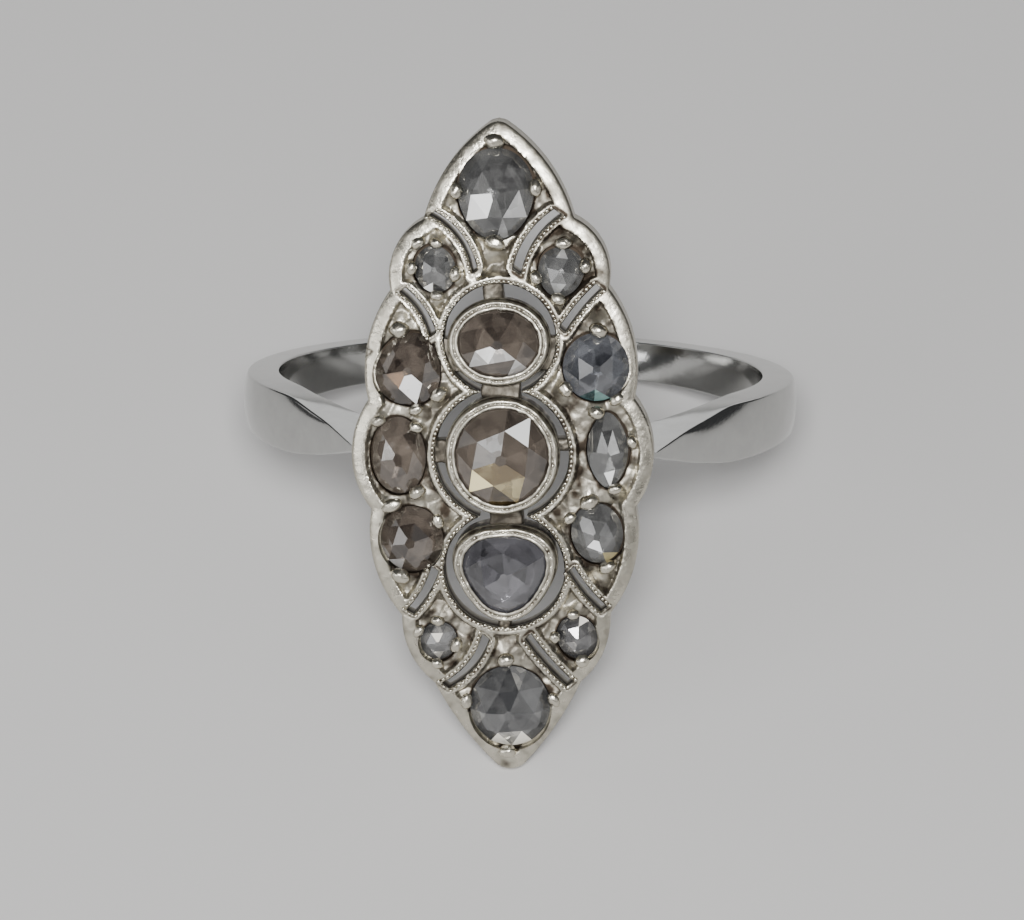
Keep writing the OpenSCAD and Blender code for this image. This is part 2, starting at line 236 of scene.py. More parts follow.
# Distance between points of the plate's front and back, their stray and distance from edges as shares of it,
# their distance from the seats' walls, and half their field
GRID = 0.055
BACK_GRID = 0.3
GRID_STRAY = 0.3
GRID_CLEAR = 0.45
SEAT_CLEAR = 0.04
GRID_FIELD = (5.4, 11.6)
# Points of an edge before they are spaced evenly, and rounds of halving that find each
EDGE_STEPS = 1600
HALVINGS = 40
BEYOND_EDGE = 8.0
SLIT_STEPS = 60
SEAT_STEPS = 239
LIP_STEPS = 199
STONE_STEPS = 72
# Angles above which an edge of a piece is sharp
SHANK_SHARP = math.radians(60)
PLATE_SHARP = math.radians(55)
BRIDGE_SHARP = math.radians(50)

# Circles of the outline, drawn on both sides: across, along, radius
LOBES = [(2.0, 0.0, 3.15), (0.0, 2.85, 4.64), (0.0, -2.75, 4.6), (1.62, 6.1, 2.14), (0.65, -5.85, 2.92)]
# Tips: end (1 top, -1 bottom), centre across, centre along, side radius, end radius, start along
TIPS = [(1, 2.85, 6.55, 5.60, 0.60, 7.0), (-1, 8.00, 3.20, 11.60, 0.70, 7.0)]
# Ends of the outline, the lower one just inside its tip
OUTLINE_ENDS = (-11.3 + 0.001, 11.3)
# Circles of the opening: along, radius
OPENING = [(3.95, 1.90), (0.00, 2.28), (-4.03, 2.05)]
OPENING_ENDS = (-6.08, 5.85)
# Slits: outer end across and along, inner end across and along, bulge, width
SLITS = [
    (-2.25, 8.22, -0.82, 6.28, 0.29, 0.19), (2.02, 8.22, 0.60, 6.26, -0.25, 0.30),
    (-3.30, 5.66, -2.28, 4.15, 0.16, 0.24), (3.38, 5.70, 2.12, 4.25, -0.07, 0.26),
    (-3.30, -5.55, -2.38, -3.98, -0.11, 0.28), (3.38, -5.48, 2.28, -4.03, 0.07, 0.28),
    (-2.17, -8.22, -0.70, -6.42, -0.24, 0.28), (2.15, -8.17, 0.74, -6.42, 0.06, 0.30),
]
# Bridges: two ends, each across and along, and the width
BRIDGES = [
    (-0.25, 5.95, -0.15, 5.00, 0.70), (-2.02, 3.45, -1.10, 3.45, 1.20), (2.02, 3.45, 1.10, 3.45, 1.20),
    (0.02, 2.80, 0.02, 1.60, 1.30), (-2.45, 0.10, -1.70, 0.10, 0.80), (2.45, 0.30, 1.70, 0.30, 0.45),
    (0.08, -1.60, 0.08, -2.90, 1.15), (-0.05, -6.15, -0.05, -5.40, 0.45),
]
# Beads: across, along, radius
BEADS = [
    (-0.13, 10.70, 0.27), (-1.52, 8.99, 0.22), (1.34, 9.06, 0.22), (-0.13, 7.17, 0.27),
    (-2.80, 7.30, 0.18), (-2.12, 7.30, 0.18), (-3.05, 6.40, 0.20), (-1.42, 6.18, 0.20), (-2.12, 5.40, 0.18),
    (2.20, 7.26, 0.20), (3.00, 6.43, 0.22), (1.18, 6.02, 0.20), (1.99, 5.24, 0.20),
    (-3.45, 4.38, 0.26), (-2.05, 2.05, 0.24), (-2.90, 1.50, 0.20),
    (3.36, 4.30, 0.26), (2.15, 2.20, 0.22), (3.98, 1.80, 0.20),
    (-4.25, 1.25, 0.20), (-2.88, 1.02, 0.18), (-2.90, -1.35, 0.24), (-3.84, -1.70, 0.25),
    (3.22, 1.48, 0.22), (3.85, -1.32, 0.20), (4.50, 0.40, 0.18),
    (-2.18, -2.28, 0.19), (-3.60, -4.32, 0.24),
    (2.92, -1.62, 0.24), (2.22, -2.20, 0.18), (3.55, -4.05, 0.22),
    (-3.08, -6.20, 0.18), (-2.36, -5.78, 0.18), (-1.66, -6.75, 0.20), (-2.42, -7.48, 0.18),
    (2.30, -5.60, 0.18), (1.60, -6.47, 0.18), (2.60, -7.42, 0.20),
    (-0.05, -7.22, 0.25), (-1.52, -8.80, 0.20), (1.65, -8.75, 0.20), (-0.10, -10.74, 0.24),
]
STONE_KEYS = "name across along width length turn egg triangle pointed crown star table slot".split()
STONES = [dict(zip(STONE_KEYS, row)) for row in (
    ("stone_top_tip", -0.10, 8.88, 2.58, 3.12, 0, -0.08, 0, 0, 0.62, 0, 0.16, "stone_grey"),
    ("stone_upper_left", -2.20, 6.35, 1.40, 1.60, 12, 0, 0, 0, 0.36, 15, 0.22, "stone_grey"),
    ("stone_upper_right", 2.10, 6.24, 1.54, 1.70, -10, 0.04, 0.04, 0, 0.38, 0, 0.20, "stone_grey"),
    ("stone_left_1", -3.15, 2.96, 2.20, 2.50, -14, 0.17, 0, 0, 0.50, 25, 0.18, "stone_brown"),
    ("stone_right_1", 3.26, 2.96, 2.26, 2.32, 0, 0, 0, 0, 0.54, 30, 0.18, "stone_blue"),
    ("stone_left_2", -3.56, -0.04, 1.84, 2.66, 0, 0.04, 0, 0, 0.44, 8, 0.22, "stone_brown"),
    ("stone_right_2", 3.61, 0.08, 1.40, 2.60, 0, 0, 0, 0.22, 0.40, 0, 0.18, "stone_grey"),
    ("stone_left_3", -3.18, -2.98, 2.16, 2.30, 0, 0, 0, 0, 0.50, 10, 0.24, "stone_brown"),
    ("stone_right_3", 3.20, -2.83, 1.76, 2.10, 8, 0, 0, 0, 0.46, 40, 0.20, "stone_grey"),
    ("stone_lower_left", -2.36, -6.64, 1.24, 1.38, -20, 0, 0, 0, 0.34, 20, 0.22, "stone_blue"),
    ("stone_lower_right", 2.44, -6.55, 1.36, 1.60, 20, 0, 0, 0, 0.36, 0, 0.22, "stone_blue"),
    ("stone_bottom_tip", 0.05, -9.06, 2.76, 2.98, 0, 0, 0, 0, 0.70, 0, 0.14, "stone_blue"),
    ("bezel_stone_upper", -0.02, 3.88, 2.86, 2.38, 0, 0, 0, 0, 0.55, 12, 0.20, "stone_brown"),
    ("bezel_stone_middle", 0.02, 0.02, 3.28, 3.44, 0, 0, 0, 0, 0.74, 18, 0.18, "stone_brown"),
    ("bezel_stone_lower", 0.04, -3.99, 2.88, 2.80, 0, -0.05, 0.06, 0, 0.56, 30, 0.16, "stone_grey"),
)]
# The last three stand in bezels
CELL_STONES, BEZEL_STONES = STONES[:-3], STONES[-3:]

# Cut of the stones: width of the star and height of its outer edge, as shares, and slope of the table
RING_SHARE = 0.60
RING_HEIGHT = 0.66
TABLE_SLOPE = 0.08
# Stones whose star facets are steeper or flatter: height of the star's outer edge
RING_HEIGHTS = {"stone_right_2": 0.50, "stone_right_1": 0.77, "stone_left_3": 0.77, "stone_bottom_tip": 0.75,
                "bezel_stone_lower": 0.78}
# How a cut by hand strays: table's slope across and along, star's turn in degrees, shares of the star's size
TABLE_STRAY = (0.07, 0.04)
STAR_STRAY = 8
STAR_SHARES = (0.93, 1.07)
# Corners of the table before it is cut, as a share of its width, and the range of their stray
TABLE_TIPS = 0.7
TABLE_SHARES = (0.8, 1.2)
# The direction in which a stone's facets are counted
FACET_ORDER = (1.0, 0.31, 0.13)
# How far up a facet has to look to be given a painted reflection by its place
FACING = 0.2
# Range of the facets' tones, and the tone from which a facet takes the painted highlight
TONES = (0.04, 0.34)
PAINTED_HIGHLIGHT_TONE = 0.75
# Painted reflections on facets, highlights and dark ones: place on the stone, in shares of its half width
# and half length, and tone
PAINTED_FACET_REFLECTIONS = {
    "stone_top_tip": [
        (-0.60, -0.34, 0.95), (-0.33, -0.19, 0.85), (0.0, -0.35, 0.35), (0.0, -0.68, 0.0),
        (0.27, -0.82, 0.45), (0.60, -0.34, 0.7)],
    "stone_upper_left": [(-0.15, -0.67, 0.75), (0.3, 0.3, 0.3)],
    "stone_upper_right": [(0.24, 0.71, 0.6), (0.0, -0.73, 0.55)],
    "stone_left_1": [(-0.03, -0.20, 0.85), (-0.48, -0.32, 0.1), (0.2, -0.75, 0.75)],
    "stone_right_1": [
        (0.05, 0.20, 0.0), (0.04, -0.77, 0.6), (-0.33, 0.50, 0.35), (0.57, 0.49, 0.4), (0.72, -0.55, 0.3)],
    "stone_left_2": [(-0.47, 0.01, 0.45), (0.27, -0.25, 0.3)],
    "stone_right_2": [(-0.08, 0.36, 0.0), (-0.06, -0.70, 0.85), (0.50, 0.14, 0.65)],
    "stone_left_3": [(0.33, 0.32, -0.25), (-0.53, -0.70, 0.6), (-0.73, -0.18, 0.4)],
    "stone_right_3": [(0.02, -0.40, 0.8), (0.44, -0.78, 0.65), (-0.28, 0.14, 0.35)],
    "stone_lower_left": [(-0.19, 0.30, 1.0), (-0.06, -0.70, 0.6)],
    "stone_lower_right": [(0.11, 0.75, 1.0), (-0.27, -0.34, 0.5)],
    "stone_bottom_tip": [
        (0.0, 0.35, -0.2), (-0.27, -0.82, 0.75), (0.27, -0.82, 0.8), (0.0, -0.68, 0.55), (-0.59, 0.34, 0.3),
        (0.27, 0.82, 0.45), (-0.82, -0.25, 0.4), (0.82, -0.25, 0.35), (0.29, 0.03, 0.25), (0.58, 0.72, 0.3),
        (0.62, -0.70, 0.3)],
    "bezel_stone_upper": [(-0.31, -0.46, 0.75), (0.10, -0.41, 0.7), (-0.62, -0.50, 0.7), (0.3, -0.75, 0.65)],
    "bezel_stone_middle": [
        (0.55, 0.62, 1.0), (-0.31, 0.25, 0.6), (0.10, -0.29, 0.4), (-0.24, -0.46, 0.45),
        (0.35, -0.58, 0.55), (-0.55, -0.60, 0.8), (-0.03, -0.90, 0.0)],
    "bezel_stone_lower": [
        (0.0, -0.68, 0.30), (-0.25, -0.45, 0.20), (0.27, -0.82, 0.25), (0.08, 0.27, 0.12),
        (0.60, 0.30, 0.10), (0.50, 0.60, 0.15), (0.70, 0.45, 0.16)],
}
# How much deeper a stone's own tone is than the others'
STONE_DEPTHS = {
    "stone_left_1": 0.10, "stone_right_1": 0.03, "stone_left_3": 0.11, "stone_lower_right": 0.05,
    "stone_bottom_tip": 0.15, "bezel_stone_upper": 0.03, "bezel_stone_middle": 0.04,
    "bezel_stone_lower": 0.10,
}
# Stones that are warmer or bluer than their material: red, green and blue shares
STONE_HUES = {
    "stone_lower_left": (1.05, 1.0, 0.90), "stone_lower_right": (1.06, 1.0, 0.91),
    "stone_bottom_tip": (1.04, 1.0, 0.91), "bezel_stone_lower": (1.0, 0.98, 1.09),
}
NO_TINT = (1.0, 1.0, 1.0)
YELLOW = (1.0, 0.86, 0.48)
AMBER = (1.0, 0.72, 0.48)
TURQUOISE = (0.55, 0.95, 0.88)
# Painted coloured glints on facets: place as above, and red, green and blue shares
PAINTED_FACET_GLINTS = {
    "stone_left_1": [(-0.30, -0.45, AMBER)],
    "stone_right_1": [(0.04, -0.77, TURQUOISE), (-0.25, -0.85, TURQUOISE)],
    "stone_right_3": [(0.44, -0.78, YELLOW)],
    "bezel_stone_middle": [
        (-0.03, -0.90, YELLOW), (-0.24, -0.46, YELLOW), (0.35, -0.58, YELLOW), (-0.55, -0.60, YELLOW),
        (0.10, -0.29, YELLOW)],
}

# Frames

TO_ROW = Matrix.Rotation(-TILT, 4, "X")
HEAD = (TO_ROW @ Matrix.Translation((0, -HEAD_TOP, 0)) @ Matrix.Rotation(math.radians(90), 4, "X")
        @ Matrix.Rotation(HEAD_TURN, 4, "Z"))


def on_dome(across, along, lift=0.0):
    """The frame of a place on the dome, with Z along the dome's normal, lifted off it."""
    lean = math.asin(math.hypot(across, along) / DOME_R)
    axis = Vector((-along, across, 0)) if lean else Vector((0, 0, 1))
    centre = Matrix.Translation((0, 0, -DOME_R))
    return HEAD @ centre @ Matrix.Rotation(lean, 4, axis) @ Matrix.Translation((0, 0, DOME_R + lift))


def dome_height(p, below):
    """Height of the sphere that lies below the dome's surface by `below`."""
    return np.sqrt((DOME_R - below) ** 2 - p[:, 0] ** 2 - p[:, 1] ** 2) - DOME_R


def transformed(matrix, points):
    m = np.array(matrix)
    return np.asarray(points, float) @ m[:3, :3].T + m[:3, 3]


# Curves and noise

def smooth_step(low, high, x):
    t = np.clip((x - low) / (high - low), 0, 1)
    return t * t * (3 - 2 * t)


def fillet(distance, r):
    """How far an edge rounded with radius r falls at a distance from the edge."""
    inward = np.clip(r - distance, 0, r)
    return r - np.sqrt(r ** 2 - inward ** 2)


def lumps(place, octaves=3):
    """Rough noise at a place, from about -1 to 1."""
    return noise.fractal(Vector(place), 1.0, 2.0, octaves)


def full_circle(count):
    return np.linspace(0, 2 * math.pi, count + 1)[:-1]


def lengths_along(path):
    return np.concatenate([[0], np.cumsum(np.hypot(*np.diff(path, axis=0).T))])


def even_path(path, count):
    """A path with a number of evenly spaced points."""
    run = lengths_along(path)
    at = np.linspace(0, run[-1], count)
    return np.stack([np.interp(at, run, part) for part in np.transpose(path)], 1)


def even_loop(points, spacing):
    closed = np.vstack([points, points[:1]])
    return even_path(closed, int(lengths_along(closed)[-1] / spacing) + 1)[:-1]


# Distances on the plate, in its own plane: outside a shape's edge, and negative inside it

def outline_distance(p):
    across, along = np.abs(p[:, 0]), p[:, 1]
    far = [np.hypot(across - x, along - y) - r for x, y, r in LOBES]
    for end, x, y, r, end_r, start in TIPS:
        up = end * along - y
        reach = math.sqrt((r - end_r) ** 2 - x * x)
        past_side = (up - reach) * x > across * reach
        to_end, to_side = np.hypot(across, up - reach), np.hypot(across + x, up) - (r - end_r)
        far.append(np.maximum(np.where(past_side, to_end, to_side) - end_r, start - end * along))
    return np.min(far, axis=0)


def opening_distance(p):
    return np.min([np.hypot(p[:, 0], p[:, 1] - y) - r for y, r in OPENING], axis=0)


def slit_frame(s):
    """Middle, direction and length of a slit's chord, radius and centre of its curve, half its width."""
    x0, y0, x1, y1, bulge, width = s
    length = math.hypot(x1 - x0, y1 - y0)
    r = length ** 2 / 8 / abs(bulge) + abs(bulge) / 2
    run = np.array([x1 - x0, y1 - y0]) / length
    return np.array([x0 + x1, y0 + y1]) / 2, run, length, r, bulge - math.copysign(r, bulge), width / 2


def slit_distance(s, p):
    middle, run, length, r, centre, half = slit_frame(s)
    q = p - middle
    x, y = q @ run, q @ np.array([-run[1], run[0]])
    past_end = np.abs(x) - length / 2
    past_side = np.abs(np.hypot(x, y - centre) - r) - half
    outside = np.hypot(np.maximum(past_end, 0), np.maximum(past_side, 0))
    return outside + np.minimum(np.maximum(past_end, past_side), 0)


def slits_distance(p):
    return np.min([slit_distance(s, p) for s in SLITS], axis=0)


def light_hole_r(s):
    return LIGHT_HOLE * min(s["width"], s["length"]) / 2


def light_holes_distance(p):
    far = [np.hypot(p[:, 0] - s["across"], p[:, 1] - s["along"]) - light_hole_r(s) for s in CELL_STONES]
    return np.min(far, axis=0)


def on_metal(p, clear=0.0):
    """Whether places are on the plate's metal, farther than `clear` from all its edges."""
    to_hole = np.min([opening_distance(p), slits_distance(p), light_holes_distance(p)], axis=0)
    return (outline_distance(p) < -clear) & (to_hole > clear)


def stone_points(s, angles, share=1.0, margin=0.0):
    """Points of a stone's outline round its own centre, at angles in radians."""
    a = np.asarray(angles, float)
    across = (s["width"] / 2 * share + margin) * np.cos(a) * (1 - s["egg"] * np.sin(a))
    across *= 1 - s["pointed"] * np.sin(a) ** 2
    along = (s["length"] / 2 * share + margin) * np.sin(a)
    corner = 1 + s["triangle"] * np.cos(3 * (a + math.pi / 2))
    x, y = across * corner, along * corner
    t = math.radians(s["turn"])
    return np.stack([x * math.cos(t) - y * math.sin(t), x * math.sin(t) + y * math.cos(t)], 1)


def stone_distance(s, p):
    """Measured along the line from the stone's centre."""
    edge = stone_points(s, np.radians(np.arange(0, 361, 2)))
    q = p - np.array([s["across"], s["along"]])
    angle = np.arctan2(edge[:, 1], edge[:, 0])
    order = np.argsort(angle)
    toward = np.arctan2(q[:, 1], q[:, 0])
    return np.hypot(*q.T) - np.interp(toward, angle[order], np.hypot(*edge[order].T), period=2 * math.pi)


def seat_distance(p):
    return np.min([stone_distance(s, p) for s in CELL_STONES], axis=0)


# Closed loops on the plate

def loop_about_axis(distance, low, high, spacing):
    """The edge of a shape that is the same on both sides of the plate's long axis."""
    along = (low + high) / 2 - (high - low) / 2 * np.cos(np.linspace(0, math.pi, EDGE_STEPS))
    inner, outer = np.zeros_like(along), np.full_like(along, BEYOND_EDGE)
    for _ in range(HALVINGS):
        middle = (inner + outer) / 2
        inside = distance(np.stack([middle, along], 1)) < 0
        inner, outer = np.where(inside, middle, inner), np.where(inside, outer, middle)
    right = np.stack([inner, along], 1)
    left = right[::-1] * [-1, 1]
    return even_loop(np.vstack([right, left[1:-1]]), spacing)


def beside_slit(s, x, offset):
    """Points beside a slit's middle line, in the frame of its chord."""
    _, _, _, r, centre, _ = slit_frame(s)
    return np.stack([x, centre + math.copysign(1, -centre) * np.sqrt((r + offset) ** 2 - x ** 2)], 1)


def from_chord(s, points):
    """Points on the plate, from points in the frame of a slit's chord."""
    middle, run, *_ = slit_frame(s)
    return middle + points @ np.array([run, [-run[1], run[0]]])


def slit_loop(s, spacing):
    _, _, length, _, _, half = slit_frame(s)
    x = np.linspace(-length / 2, length / 2, SLIT_STEPS)
    edge = np.vstack([beside_slit(s, x, half), beside_slit(s, x, -half)[::-1]])
    return from_chord(s, even_loop(edge, spacing))


def light_hole_loop(s, spacing):
    r = light_hole_r(s)
    angles = full_circle(int(2 * math.pi * r / spacing))
    return np.stack([s["across"] + r * np.cos(angles), s["along"] + r * np.sin(angles)], 1)


# Making objects

def new_object(name, data):
    made = bpy.data.objects.new(name, data)
    bpy.context.scene.collection.objects.link(made)
    return made


def metal_piece(name, points, faces, material, grime_and_shade):
    """A mesh from millimetres in the row's frame, kept above the floor, with the grime and painted shade at
    each point.
    """
    verts = np.array(points, float) * MM
    verts[:, 2] = np.maximum(verts[:, 2], FLOOR)
    mesh = bpy.data.meshes.new(name)
    mesh.from_pydata(verts.tolist(), [], [list(map(int, f)) for f in faces])
    mesh.validate()
    mesh.shade_smooth()
    mesh.materials.append(material)
    piece = new_object(name, mesh)
    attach(piece, "root")
    layer = mesh.attributes.new("grime_and_shade", "FLOAT", "POINT")
    layer.data.foreach_set("value", np.asarray(grime_and_shade, np.float32))
    return piece


def face_outward(mesh):
    bm = bmesh.new()
    bm.from_mesh(mesh)
    bmesh.ops.recalc_face_normals(bm, faces=bm.faces)
    bm.to_mesh(mesh)
    bm.free()


def faces_between(rings, size, joined=False):
    """Faces between rings of points: closed at both ends, or with the last ring joined to the first."""
    faces = []
    for i in range(rings if joined else rings - 1):
        here, there = i * size, (i + 1) % rings * size
        faces += [(here + j, here + (j + 1) % size, there + (j + 1) % size, there + j) for j in range(size)]
    if not joined:
        faces += [list(range(size))[::-1], [(rings - 1) * size + j for j in range(size)]]
    return faces


def join_shapes(shapes):
    verts, faces, start = [], [], 0
    for v, f in shapes:
        verts.append(np.asarray(v, float))
        faces.extend([[i + start for i in face] for face in f])
        start += len(v)
    return np.vstack(verts), faces


def ball(subdivisions):
    bm = bmesh.new()
    bmesh.ops.create_icosphere(bm, subdivisions=subdivisions, radius=1)
    verts = np.array([v.co[:] for v in bm.verts])
    faces = [[v.index for v in f.verts] for f in bm.faces]
    bm.free()
    return verts, faces


# Materials

class Nodes:
    """A short way to write a material's nodes."""

    def __init__(self, name):
        self.material = bpy.data.materials.new(name)
        self.material.use_nodes = True
        self.tree = self.material.node_tree

    def feed(self, node, inputs):
        for key, value in inputs.items():
            if isinstance(value, bpy.types.NodeSocket):
                self.tree.links.new(value, node.inputs[key])
            else:
                node.inputs[key].default_value = value

    def add(self, kind, inputs=None, **settings):
        node = self.tree.nodes.new(kind)
        for key, value in settings.items():
            setattr(node, key, value)
        self.feed(node, inputs or {})
        return node

    def place(self):
        return self.add("ShaderNodeTexCoord").outputs["Object"]

    def stored(self, name, output):
        return self.add("ShaderNodeAttribute", attribute_name=name).outputs[output]

    def noise(self, scale, detail, roughness):
        inputs = {"Vector": self.place(), "Scale": scale, "Detail": detail, "Roughness": roughness}
        return self.add("ShaderNodeTexNoise", inputs).outputs

    def bump(self, height, strength, distance, **below):
        inputs = {"Height": height, "Strength": strength, "Distance": distance, **below}
        return self.add("ShaderNodeBump", inputs).outputs["Normal"]

    def calculate(self, operation, *values, kind="ShaderNodeMath"):
        return self.add(kind, dict(enumerate(values)), operation=operation).outputs[0]

    def calculate_vector(self, operation, *values):
        return self.calculate(operation, *values, kind="ShaderNodeVectorMath")

    def ramp(self, value, stops):
        node = self.add("ShaderNodeValToRGB", {"Fac": value})
        elements = node.color_ramp.elements
        while len(elements) < len(stops):
            elements.new(0.5)
        for element, (place, colour) in zip(elements, stops):
            element.position = place
            element.color = (*colour, 1)
        return node.outputs["Color"]

    def set(self, **sockets):
        """Feeds the material's shader."""
        shader = self.tree.nodes["Principled BSDF"]
        self.feed(shader, {key.replace("_", " "): value for key, value in sockets.items()})


def metal_material(name, clean, grime_and_shade, smooth_level, rough_level, bump):
    """Aged white metal, paler and smoother high up, dull and brownish in the corners, where its point values
    hold both grime and painted shade.
    """
    n = Nodes(name)
    patches = n.noise(1100.0, 6.0, 0.7)
    grain = n.noise(6500.0, 3.0, 0.6)
    level = n.calculate("ADD", n.calculate("MULTIPLY", patches["Fac"], 0.5), n.stored("grime_and_shade", "Fac"))
    worn = [0.78 * c for c in clean]
    fine = n.bump(grain["Fac"], bump, 0.00002)
    n.set(
        Metallic=1.0,
        Base_Color=n.ramp(level, [(0.18, clean), (0.5, worn), (1.0, grime_and_shade)]),
        Roughness=n.ramp(level, [(0.2, (smooth_level,) * 3), (1.0, (rough_level,) * 3)]),
        Normal=n.bump(patches["Fac"], bump * 0.7, 0.00006, Normal=fine),
    )
    return n.material


SHANK_METAL = metal_material("shank_metal", (0.50, 0.50, 0.487), (0.28, 0.26, 0.23), 0.10, 0.30, 0.10)
HEAD_METAL = metal_material("head_metal", (0.58, 0.547, 0.46), (0.056, 0.044, 0.033), 0.23, 0.62, 0.60)

# Pale and deep colour of the stones of each slot, and colour of the brightest painted highlight
STONE_COLOURS = {
    "stone_grey": ((0.27, 0.27, 0.265), (0.02, 0.02, 0.021)),
    "stone_brown": ((0.26, 0.215, 0.175), (0.03, 0.022, 0.017)),
    "stone_blue": ((0.255, 0.265, 0.29), (0.021, 0.023, 0.029)),
}
PAINTED_HIGHLIGHT_COLOUR = (0.95, 0.95, 0.94)
# Clearness of a stone's own facets and of those with painted highlights, with the end of the material's name
STONE_KINDS = (("", 0.6), ("_painted_highlight", 0.1))


def stone_material(name, pale, deep, clearness):
    """Old diamond, clear and a little cloudy, with facets that each have their own tone, and painted
    highlights, dark reflections and coloured glints on chosen facets.
    """
    n = Nodes(name)
    cloud = n.noise(1200.0, 4.0, 0.6)
    bend = n.calculate_vector("MULTIPLY", cloud["Color"], (0.0004, 0.0004, 0.0004))
    bent = n.calculate_vector("ADD", n.place(), bend)
    flaws = n.add("ShaderNodeTexVoronoi", {"Vector": bent, "Scale": 2600.0}).outputs["Color"]
    flaw = n.add("ShaderNodeSeparateColor", {"Color": flaws}).outputs["Red"]
    mixed = n.calculate("MULTIPLY_ADD", flaw, 0.20, n.calculate("MULTIPLY", cloud["Fac"], 0.34))
    mixed = n.calculate("ADD", mixed, n.stored("tone", "Fac"))
    # Tones near the top take the painted highlight colour
    shade = n.ramp(mixed, [(0.15, deep), (0.66, pale), (1.0, PAINTED_HIGHLIGHT_COLOUR)])
    # The base colour takes each facet's hue and painted coloured glint
    n.set(
        Base_Color=n.calculate_vector("MULTIPLY", shade, n.stored("hue_and_glint", "Vector")),
        Roughness=0.04,
        IOR=1.8,
        Transmission_Weight=clearness,
    )
    return n.material


# Each slot's materials: of a stone's own facets and of those with painted highlights
STONE_LOOKS = {
    slot: [stone_material(slot + kind, pale, deep, clearness) for kind, clearness in STONE_KINDS]
    for slot, (pale, deep) in STONE_COLOURS.items()
}


# Plate

def chiselled(p):
    """Height of the graver's small flat cuts, each tilted its own way."""
    draw = np.random.default_rng(7)
    x, y = np.meshgrid(*(np.arange(-reach, reach, CHISEL) for reach in CHISEL_FIELD))
    stray = draw.uniform(-CHISEL_STRAY, CHISEL_STRAY, (x.size, 2))
    middles = np.stack([x, y], -1).reshape(-1, 2) + stray * CHISEL
    tilt = draw.uniform(-CHISEL_TILT, CHISEL_TILT, middles.shape)
    tree = kdtree.KDTree(len(middles))
    for i, (a, b) in enumerate(middles):
        tree.insert((a, b, 0), i)
    tree.balance()
    height = []
    for q in p:
        near = tree.find_n((q[0], q[1], 0), CHISEL_NEIGHBOURS)
        height.append(max(tilt[i] @ (q - middles[i]) - CHISEL_FALL * far * far for _, i, far in near))
    return np.array(height)


def mounds(p):
    """The metal that rises to each bead, from 0 to 1."""
    far = [np.hypot(p[:, 0] - x, p[:, 1] - y) / (r + MOUND_REACH) for x, y, r in BEADS]
    return np.exp(-np.min(far, axis=0) ** 2)


# Painted shade beside the middle bezel, below it and at the upper right
def painted_shade_places(p, from_opening, raised):
    across, along = p[:, 0], p[:, 1]
    waist = WAIST_SHADE * np.exp(-(along / WAIST_SIZE[1]) ** 2 - (from_opening / WAIST_SIZE[0]) ** 2)
    lower = LOWER_SHADE * smooth_step(*LOWER_STRETCH, -along)
    corner = (CORNER_SHADE + CORNER_RIM_SHADE * raised) * smooth_step(*CORNER_ALONG, along)
    return waist + lower + corner * smooth_step(*CORNER_ACROSS, across)


def plate_surface(p):
    """Height of the plate's front above the dome, and its grime and painted shade."""
    depth = -outline_distance(p)
    from_opening, from_slit = opening_distance(p), slits_distance(p)
    bands = ((depth, RIM_W), (from_opening, FRAME_W), (from_slit, SLIT_EDGE_W))
    raised = np.max([1 - smooth_step(w - STEP_SLOPE, w + STEP_SLOPE, far) for far, w in bands], axis=0)
    sunken = 1 - raised
    rough = np.array([lumps((x * LUMP_SCALE, y * LUMP_SCALE, 0)) for x, y in p])
    mound = mounds(p) * sunken
    height = -CELL_DEPTH * sunken + MOUND_RISE * mound + rough * (LUMP_H + CELL_LUMP_H * sunken)
    height += chiselled(p) * sunken
    from_row = np.minimum(np.abs(from_slit - GRAIN_ROW), np.abs(from_opening - GRAIN_ROW))
    rows = np.clip(1 - from_row / ROW_HALF_W, 0, 1)
    height -= RIM_FALL * (1 - np.sqrt(1 - np.clip(1 - depth / RIM_ROUND, 0, 1) ** 2))
    height -= fillet(from_opening, EDGE_ROUND) + fillet(from_slit, EDGE_ROUND) + ROW_DEPTH * rows
    from_stone = seat_distance(p)
    in_seat = 1 - smooth_step(STONE_GAP, STONE_GAP + SEAT_WALL, from_stone)
    height = np.minimum(height, PLATE_TOP) * (1 - in_seat) + (-CELL_DEPTH - SEAT_DEPTH) * in_seat
    # Dirt and painted shade in a band beside each stone
    near_stone = 1 - smooth_step(*STONE_DIRT_AND_SHADE_REACH, from_stone)
    foot = np.exp(-(sunken / FOOT_PLACE - 1) ** 2) * (raised < RAISED_TOP)
    grime_and_shade = sunken * (CELL_GRIME + STONE_DIRT_AND_SHADE * near_stone - MOUND_GRIME * mound) + FOOT_GRIME * foot
    grime_and_shade += ROW_GRIME * rows
    grime_and_shade += LUMP_GRIME * rough
    # With painted shade beside the middle bezel, below it and at the upper right
    return height, np.clip(grime_and_shade + painted_shade_places(p, from_opening, raised), 0, 1)


